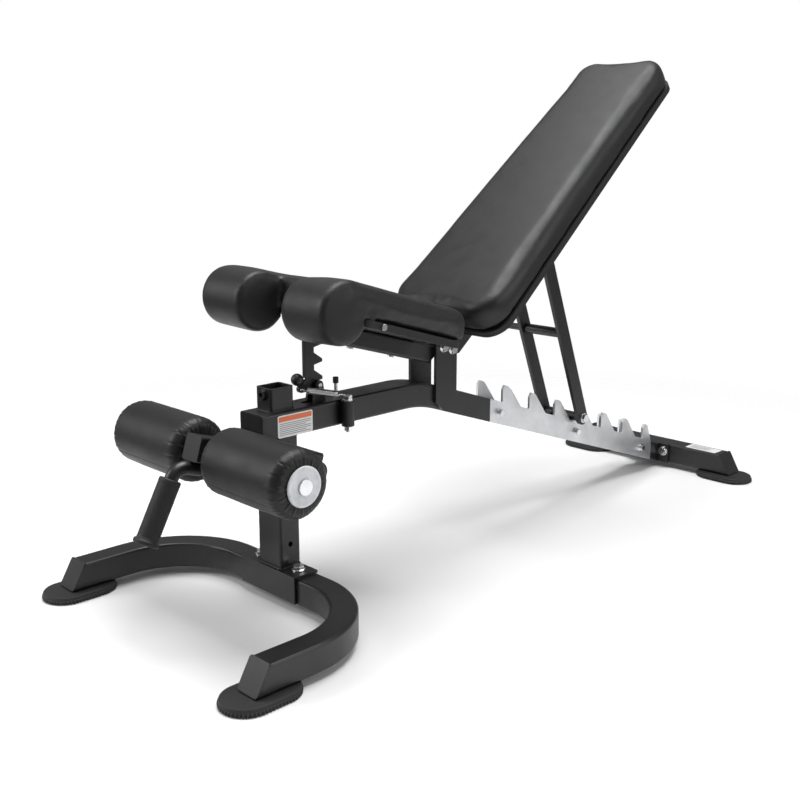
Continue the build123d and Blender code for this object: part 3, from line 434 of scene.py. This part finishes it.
def backrest_cushion():
    """Tapered cushion: straight sides, a soft front edge and a slightly crowned face."""
    inset = 1.2
    start, end = 35.0 + inset, 786.0 - inset
    low, top = 134.0 - inset, 104.0 - inset
    corners = [(start, -low), (end, -top), (end, top), (start, low)]
    outline = resampled(rounded(corners, [50, 42, 42, 50]), 260)
    base, face = 14.6, 69.5
    rings = []
    for d, h in ((5, 0), (1.2, 1.0), (0, 4), (0, 22), (0.5, 33), (2.2, 41.5), (5.5, 47.5), (10, 51.8), (16, 54)):
        ring = inward(outline, d)
        rings.append(np.column_stack([ring, np.full(len(ring), base + h * (face - base) / 54)]))
    inner = rings[-1]
    spine = np.clip(inner[:, 0], start + 110, end - 90)
    for s in (0.85, 0.65, 0.4, 0.15):
        x = spine + (inner[:, 0] - spine) * s
        crown = np.full(len(x), face + 1.5 * (1 - s ** 2))
        rings.append(np.column_stack([x, inner[:, 1] * s, crown]))
    floor_ring = rings[0].copy()
    floor_ring[:, 0] = spine + (floor_ring[:, 0] - spine) * 0.3
    floor_ring[:, 1] *= 0.3
    points, faces = rings_to_mesh([floor_ring] + rings)
    obj = make("backrest_cushion", back_to_world(points * MM), faces, VINYL)
    return inflate(obj, 0.0045, 0.003, 3.0)


def seat_outline(grow=0.0):
    """Side view of the seat cushion: flat behind, rolled over at the front."""
    centre, height, radius = 361.0, 11.5, 51.0
    turn = np.linspace(math.radians(90), math.radians(-150), 40)
    roll = np.column_stack([centre + radius * np.cos(turn), height + radius * np.sin(turn)])
    rear = [(326.0, 13.8), (58.0, 13.8)]
    arc = np.linspace(math.radians(180), math.radians(90), 10)
    top = np.column_stack([88.0 + 30.0 * np.cos(arc), 32.5 + 30.0 * np.sin(arc)])
    return np.concatenate([roll, rear, top])


def lobe_rings(outline, y0, y1, edge):
    """Side view drawn across the bench from y0 to y1, rounded off at both ends."""
    rings = []
    steps = [(edge * (1 - math.cos(t)), edge * (1 - math.sin(t))) for t in np.linspace(0.05, math.pi / 2, 6)]
    for depth, lift in steps:
        rings.append((y0 + depth, lift))
    for depth, lift in reversed(steps):
        rings.append((y1 - depth, lift))
    made = []
    for y, lift in rings:
        ring = inward(outline, lift)
        made.append(np.column_stack([ring[:, 0], np.full(len(ring), y), ring[:, 1]]))
    return made


def seat_cushion():
    """Seat with two knee rolls either side of a notch."""
    outline = resampled(seat_outline(), 150)
    work = []
    for side in (-1, 1):
        y0, y1 = sorted((side * 54.8, side * 162.6))
        work.append(rings_to_mesh(lobe_rings(outline, y0, y1, 9.0)))
    body = np.array([(58.0, 13.8), (58.0, 32.0), (62.0, 47.0), (72.0, 58.0), (88.0, 62.4),
                     (330.5, 62.4), (330.5, 13.8)])
    body = resampled(body, 120)
    work.append(rings_to_mesh(lobe_rings(body, -162.6, 162.6, 9.0)))
    points, faces = [], []
    count = 0
    for p, f in work:
        points.append(p)
        faces += [tuple(i + count for i in face) for face in f]
        count += len(p)
    points = np.concatenate(points)
    narrow = np.clip((361.0 - points[:, 0]) / 300.0, 0, 1)
    points[:, 1] *= 1 - narrow * (163.0 - 140.0) / 163.0
    obj = make("seat_cushion", seat_to_world(points * MM), faces, VINYL)
    return inflate(obj, 0.0045, 0.0035, 3.0)


backrest = backrest_cushion()
finish_pad(backrest, "backrest", "backrest_pad")
seat = seat_cushion()
finish_pad(seat, "seat", "seat_pad")

# ---------------------------------------------------------------- rollers
AXLE = np.array([-0.447 - 0.130 * math.cos(SLOPE) - 0.008 * math.sin(SLOPE), 0.0,
                 0.245 + 0.130 * math.sin(SLOPE) - 0.008 * math.cos(SLOPE)])


def roller_sleeve(side, name):
    """Foam sleeve in gathered vinyl: pleats run from the barrel in to each end."""
    inner, outer = 31.4, 223.0
    length = outer - inner
    sides = 288
    turn = np.linspace(0, 2 * math.pi, sides, endpoint=False)
    pleat = np.zeros(sides)
    for k, size in ((31, 0.5), (47, 0.35), (64, 0.25)):
        pleat += size * np.sin(k * turn + rng.uniform(0, 2 * math.pi))
    rings = []
    profile = [(17.0, 4.0), (22.0, 1.6), (30.0, 0.3), (38.0, 1.0)]
    for t in np.linspace(0, math.pi / 2, 14)[1:]:
        profile.append((38.0 + 15.2 * math.sin(t), 1.0 + 17.0 * (1 - math.cos(t))))
    for share in np.linspace(0, 1, 22)[1:]:
        profile.append((53.2 + 0.4 * math.sin(math.pi * share / 2), 18.0 + (length / 2 - 18.0) * share))
    whole = profile + [(r, length - h) for r, h in reversed(profile[:-1])]
    seam = np.exp(-((np.angle(np.exp(1j * (turn - 3.6)))) / 0.022) ** 2)
    for r, h in whole:
        end = min(h, length - h)
        fold = 1.15 * math.exp(-(end / 15.0) ** 2) * (1 if r > 18 else 0.2)
        puckers = fold * pleat + 0.25 * np.sin(5 * turn + h / 19.0) * math.exp(-(end / 60.0) ** 2)
        radius = np.minimum(r + puckers - 0.9 * seam * (1 if end > 6 else 0), 54.0)
        lift = h + (0.8 * fold * pleat if h < length / 2 else -0.8 * fold * pleat)
        y = side * (inner + np.clip(lift, 0.0, length))
        rings.append(np.column_stack([radius * np.cos(turn), y, radius * np.sin(turn)]))
    rings.append(np.column_stack([16.6 * np.cos(turn), np.full(sides, side * outer), 16.6 * np.sin(turn)]))
    n = len(rings)
    points = np.concatenate(rings) * MM + AXLE
    faces = []
    for k in range(n):
        k2 = (k + 1) % n
        for i in range(sides):
            j = (i + 1) % sides
            faces.append((k * sides + i, k * sides + j, k2 * sides + j, k2 * sides + i))
    obj = make(name, points, faces, VINYL)
    return obj


def roller_disc(side, name):
    """Pressed end disc with a rolled rim and a shallow dished middle."""
    base = 0.2232
    profile = [(0.0101, 0.0), (0.0302, 0.0), (0.0308, 0.0008), (0.0309, 0.0022), (0.0300, 0.0035),
               (0.0280, 0.0038), (0.0262, 0.0028), (0.0200, 0.0026), (0.0160, 0.0032), (0.0125, 0.0034),
               (0.0101, 0.0034)]
    centre = AXLE + np.array([0, side * base, 0])
    points, faces = lathe(profile, centre, (0, side, 0), 96)
    keep_faces = [f for f in faces if len(f) == 4]
    n, sides = len(profile), 96
    last = (n - 1) * sides
    keep_faces += [(last + i, last + (i + 1) % sides, (i + 1) % sides, i) for i in range(sides)]
    return make(name, points[:-2], keep_faces, WHITE)


for side, label in ((-1, "near"), (1, "far")):
    sleeve = roller_sleeve(side, f"roller_sleeve_{label}")
    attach(sleeve, f"roller_{label}")
    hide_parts(f"foam_roller_{label}")
    disc = roller_disc(side, f"roller_end_disc_{label}")
    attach(disc, f"roller_{label}")
    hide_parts(f"roller_hub_{label}")


# ---------------------------------------------------------------- feet
def ribbed_foot(name, node, along_y):
    """Oval rubber foot: notched skirt, stepped top and a raised lip."""
    low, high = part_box(node)
    cx, cy = (low.x + high.x) / 2, (low.y + high.y) / 2
    half_long, half_wide = 0.0650, 0.0420
    count = 360
    turn = np.linspace(0, 2 * math.pi, count, endpoint=False)
    straight = half_long - half_wide
    shape = np.column_stack([half_wide * np.cos(turn) + straight * np.sign(np.cos(turn)),
                             half_wide * np.sin(turn)])
    shape = resampled(shape, count)
    notch = (np.sin(np.arange(count) * 2 * math.pi * 60 / count) > 0.25).astype(float)
    rings = []
    for inset, z, toothed in ((0.003, 0.0, 1), (0.0004, 0.0006, 1), (0.0, 0.0045, 1), (0.0002, 0.0058, 0.6),
                              (0.0020, 0.0072, 0), (0.0022, 0.0104, 0), (0.0034, 0.0118, 0), (0.0062, 0.0120, 0)):
        ring = inward(shape, inset) if inset else shape
        ring = ring + (inward(shape, 0.0016) - shape) * (notch * toothed)[:, None]
        if along_y:
            ring = ring[:, ::-1] * np.array([1, -1])
        rings.append(np.column_stack([ring[:, 0] + cx, ring[:, 1] + cy, np.full(count, z)]))
    points, faces = rings_to_mesh(rings)
    obj = make(name, points, faces, RUBBER, smooth=False)
    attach(obj, "base")
    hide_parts(node)


for label in ("near", "far"):
    ribbed_foot(f"front_foot_pad_{label}", f"front_foot_{label}", False)
    ribbed_foot(f"rear_foot_pad_{label}", f"rear_foot_{label}", True)


# ---------------------------------------------------------------- spring
def seat_spring():
    """Wound tension spring with a long wire hook at the rear."""
    front = np.array([-0.39426, -0.0121, 0.35497])
    rear = np.array([-0.3290, -0.0430, 0.3414])
    line = rear - front
    length = float(np.linalg.norm(line))
    unit = line / length
    side = np.cross(unit, (0, 0, 1.0))
    side /= np.linalg.norm(side)
    up = np.cross(side, unit)
    coil_start, coil_end, radius, turns = 0.004, 0.058, 0.0050, 19
    path = []
    for t in np.linspace(0, 1, turns * 16):
        angle = 2 * math.pi * turns * t
        where = front + unit * (coil_start + (coil_end - coil_start) * t)
        path.append(where + radius * (math.cos(angle) * side + math.sin(angle) * up))
    points, faces = tube(path, 0.00105, 8)
    hook = [front + unit * coil_end + radius * side]
    hook += [front + unit * (coil_end + 0.004), front + unit * (coil_end + 0.010), rear - unit * 0.001]
    for t in np.linspace(0, 1.5 * math.pi, 14):
        hook.append(rear + unit * 0.0045 + 0.0048 * (-math.cos(t) * unit + math.sin(t) * side))
    p2, f2 = tube(hook, 0.00105, 8)
    faces += [tuple(i + len(points) for i in f) for f in f2]
    toe = [front + unit * coil_start + radius * side, front + unit * 0.001]
    for t in np.linspace(0, 1.4 * math.pi, 12):
        toe.append(front + np.array([0, 0.0045, 0]) + 0.0046 * (-math.cos(t) * np.array([0, 1, 0])
                                                                 + math.sin(t) * np.array([-1.0, 0, 0])))
    p3, f3 = tube(toe, 0.00105, 8)
    faces += [tuple(i + len(points) + len(p2) for i in f) for f in f3]
    obj = make("seat_return_spring", np.concatenate([points, p2, p3]), faces, CHROME)
    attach(obj, "base")
    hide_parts("seat_spring")
    return obj


seat_spring()


# ---------------------------------------------------------------- grip
def hand_grip():
    """Rubber sleeve with fine rings, a rolled top and an end flange."""
    low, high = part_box("grip")
    down = np.array([-0.475, 0.0, -0.88])
    down /= np.linalg.norm(down)
    middle = np.array([(low.x + high.x) / 2, 0.0, (low.z + high.z) / 2])
    length, flange, body = 0.106, 0.0205, 0.0175
    profile = [(0.0112, 0.0), (body - 0.0016, 0.0), (body - 0.0004, 0.0012), (body, 0.003)]
    for k in range(31):
        h = 0.008 + k * 0.0028
        profile += [(body, h), (body - 0.0005, h + 0.0008), (body, h + 0.0016)]
    profile += [(body, length - 0.0085), (flange - 0.001, length - 0.0072), (flange, length - 0.006),
                (flange, length - 0.0015), (flange - 0.0015, length), (0.002, length)]
    points, faces = lathe(profile, middle - down * length / 2, down, 64)
    obj = make("hand_grip", points, faces, RUBBER)
    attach(obj, "leg_holder")
    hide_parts("grip")


hand_grip()


# ---------------------------------------------------------------- welds
def weld(name, path, body, radius=0.0023):
    """Bead of overlapping ripples along a path."""
    path = np.asarray(path, float)
    seg = np.linalg.norm(np.diff(path, axis=0), axis=1)
    where = np.concatenate([[0], np.cumsum(seg)])
    t = np.linspace(0, where[-1], max(12, int(where[-1] / 0.0009)))
    line = np.stack([np.interp(t, where, path[:, i]) for i in range(3)], 1)
    points, faces = tube(line, 1.0, 8)
    sides = 8
    for k in range(len(line)):
        size = radius * (1.0 + 0.16 * math.sin(t[k] * 2 * math.pi / 0.0036))
        ring = points[k * sides:(k + 1) * sides]
        points[k * sides:(k + 1) * sides] = line[k] + (ring - line[k]) * size
    points[-2], points[-1] = line[0], line[-1]
    obj = make(name, points, faces, COAT)
    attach(obj, body)
    return obj


def loop(x0, x1, y0, y1, z):
    """Rectangle at one height with softened corners."""
    c = 0.004
    pts = [(x0 + c, y0), (x1 - c, y0), (x1, y0 + c), (x1, y1 - c), (x1 - c, y1), (x0 + c, y1),
           (x0, y1 - c), (x0, y0 + c), (x0 + c, y0)]
    return [(x, y, z) for x, y in pts]


post_low, post_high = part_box("front_post")
weld("weld_post_foot", loop(post_low.x, post_high.x, post_low.y, post_high.y, post_low.z), "base")
weld("weld_post_head", loop(post_low.x, post_high.x, post_low.y + 0.002, post_high.y - 0.002, post_high.z), "base")
box_low, box_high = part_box("accessory_receiver")
weld("weld_receiver", loop(-0.472, -0.424, -0.020, 0.020, box_low.z), "base", 0.0018)


# ---------------------------------------------------------------- labels
def label(name, origin, along, up, normal, width, height, bands, body):
    """Rounded sticker with coloured bands; origin is its middle."""
    origin, along, up, normal = (np.array(v, float) for v in (origin, along, up, normal))
    outline = rounded([(-width / 2, -height / 2), (width / 2, -height / 2), (width / 2, height / 2),
                       (-width / 2, height / 2)], [0.0035] * 4, 6)
    pieces = [(outline, 0.0003, 0)]
    for x0, x1, y0, y1, slot in bands:
        quad = np.array([(x0, y0), (x1, y0), (x1, y1), (x0, y1)])
        pieces.append((quad, 0.0004, slot))
    points, faces, slots = [], [], []
    for shape, lift, slot in pieces:
        n, first = len(shape), len(points)
        for level in (0.0, lift):
            points += [origin + along * u + up * v + normal * level for u, v in shape]
        faces.append(tuple(first + n + i for i in range(n)))
        faces.append(tuple(first + i for i in reversed(range(n))))
        slots += [slot, slot]
        for i in range(n):
            j = (i + 1) % n
            faces.append((first + i, first + j, first + n + j, first + n + i))
            slots.append(slot)
    mesh = bpy.data.meshes.new(name)
    mesh.from_pydata([tuple(p) for p in points], [], faces)
    for m in (STICKER, ORANGE, INK):
        mesh.materials.append(m)
    mesh.polygons.foreach_set("material_index", slots)
    work = bmesh.new()
    work.from_mesh(mesh)
    bmesh.ops.recalc_face_normals(work, faces=work.faces)
    work.to_mesh(mesh)
    work.free()
    obj = bpy.data.objects.new(name, mesh)
    bpy.context.scene.collection.objects.link(obj)
    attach(obj, body)


def safety_bands(width, height):
    """Orange heading and rows of grey lines, with no words."""
    edge = 0.0022
    bands = [(-width / 2 + edge, width / 2 - edge, height / 2 - edge - 0.0085, height / 2 - edge, 1)]
    y = height / 2 - edge - 0.0115
    row = 0
    while y > -height / 2 + 0.004:
        end = width / 2 - edge - (0.012 if row % 3 == 2 else 0.002)
        bands.append((-width / 2 + edge + 0.001, end, y - 0.0011, y, 2))
        y -= 0.0031
        row += 1
    return bands


label("safety_label", (-0.4305, -0.0300, 0.307), (1, 0, 0), (0, 0, 1), (0, -1, 0), 0.073, 0.0375,
      safety_bands(0.073, 0.0375), "base")
label("base_label", (0.711, -0.132, 0.0570), (0, -1, 0), (1, 0, 0), (0, 0, 1), 0.078, 0.034,
      [(-0.032, 0.020 - 0.006 * (k % 2), 0.010 - 0.0042 * k, 0.0116 - 0.0042 * k, 2) for k in range(6)], "base")


# ---------------------------------------------------------------- room, light and camera
def ground():
    """Pale floor that fades into the white backdrop away from the bench."""
    mat, tree, shader = nodes_of("studio_floor")
    cloud = noise(tree, coords(tree), 3.0, 2.0)
    link(tree, mix(tree, remap(tree, cloud, 0.3, 0.7, 0, 1), (0.90, 0.90, 0.90), (0.92, 0.92, 0.92)),
         shader.inputs["Base Color"])
    shader.inputs["Roughness"].default_value = 0.5
    away = tree.nodes.new("ShaderNodeVectorMath")
    away.operation = "LENGTH"
    link(tree, coords(tree), away.inputs[0])
    clear = tree.nodes.new("ShaderNodeBsdfTransparent")
    blend = tree.nodes.new("ShaderNodeMixShader")
    link(tree, remap(tree, away.outputs["Value"], 0.9, 1.7, 0.0, 1.0), blend.inputs["Fac"])
    link(tree, shader.outputs["BSDF"], blend.inputs[1])
    link(tree, clear.outputs["BSDF"], blend.inputs[2])
    link(tree, blend.outputs["Shader"], tree.nodes["Material Output"].inputs["Surface"])
    size, level = 2.0, -0.0005
    points = [(-size, -size, level), (size, -size, level), (size, size, level), (-size, size, level)]
    mesh = bpy.data.meshes.new("studio_floor")
    mesh.from_pydata(points, [], [(0, 1, 2, 3)])
    mesh.materials.append(mat)
    obj = bpy.data.objects.new("studio_floor", mesh)
    bpy.context.scene.collection.objects.link(obj)


ground()


def area_light(name, where, target, size_x, size_y, power):
    """Rectangular soft light aimed at a point."""
    data = bpy.data.lights.new(name, "AREA")
    data.shape = "RECTANGLE"
    data.size = size_x
    data.size_y = size_y
    data.energy = power
    obj = bpy.data.objects.new(name, data)
    bpy.context.scene.collection.objects.link(obj)
    direction = Vector(target) - Vector(where)
    obj.matrix_world = Matrix.Translation(where) @ direction.to_track_quat("-Z", "Y").to_matrix().to_4x4()


area_light("softbox_top", (0.1, 0.0, 2.9), (0.0, 0.0, 0.3), 2.4, 1.8, 105)
area_light("softbox_left", (-2.3, 1.5, 1.6), (0.0, 0.0, 0.4), 1.1, 1.6, 34)
area_light("softbox_right", (1.2, -2.6, 1.5), (0.1, 0.0, 0.4), 1.3, 1.2, 22)

world = bpy.data.worlds.new("studio_world")
world.use_nodes = True
sky = world.node_tree
backdrop = sky.nodes["Background"]
backdrop.inputs["Color"].default_value = (1.0, 1.0, 1.0, 1)
ray = sky.nodes.new("ShaderNodeLightPath")
level = sky.nodes.new("ShaderNodeMapRange")
level.inputs["To Min"].default_value = 0.26
level.inputs["To Max"].default_value = 1.0
sky.links.new(ray.outputs["Is Camera Ray"], level.inputs["Value"])
sky.links.new(level.outputs["Result"], backdrop.inputs["Strength"])
bpy.context.scene.world = world
bpy.context.scene.view_settings.view_transform = "Standard"

camera_data = bpy.data.cameras.new("camera")
camera_data.lens = 48.24
camera_data.sensor_width = 36.0
camera = bpy.data.objects.new("camera", camera_data)
bpy.context.scene.collection.objects.link(camera)
camera.location = (-1.50055, -1.36494, 0.75201)
camera.rotation_euler = (math.radians(76.63), 0.0, math.radians(-44.47))
bpy.context.scene.camera = camera
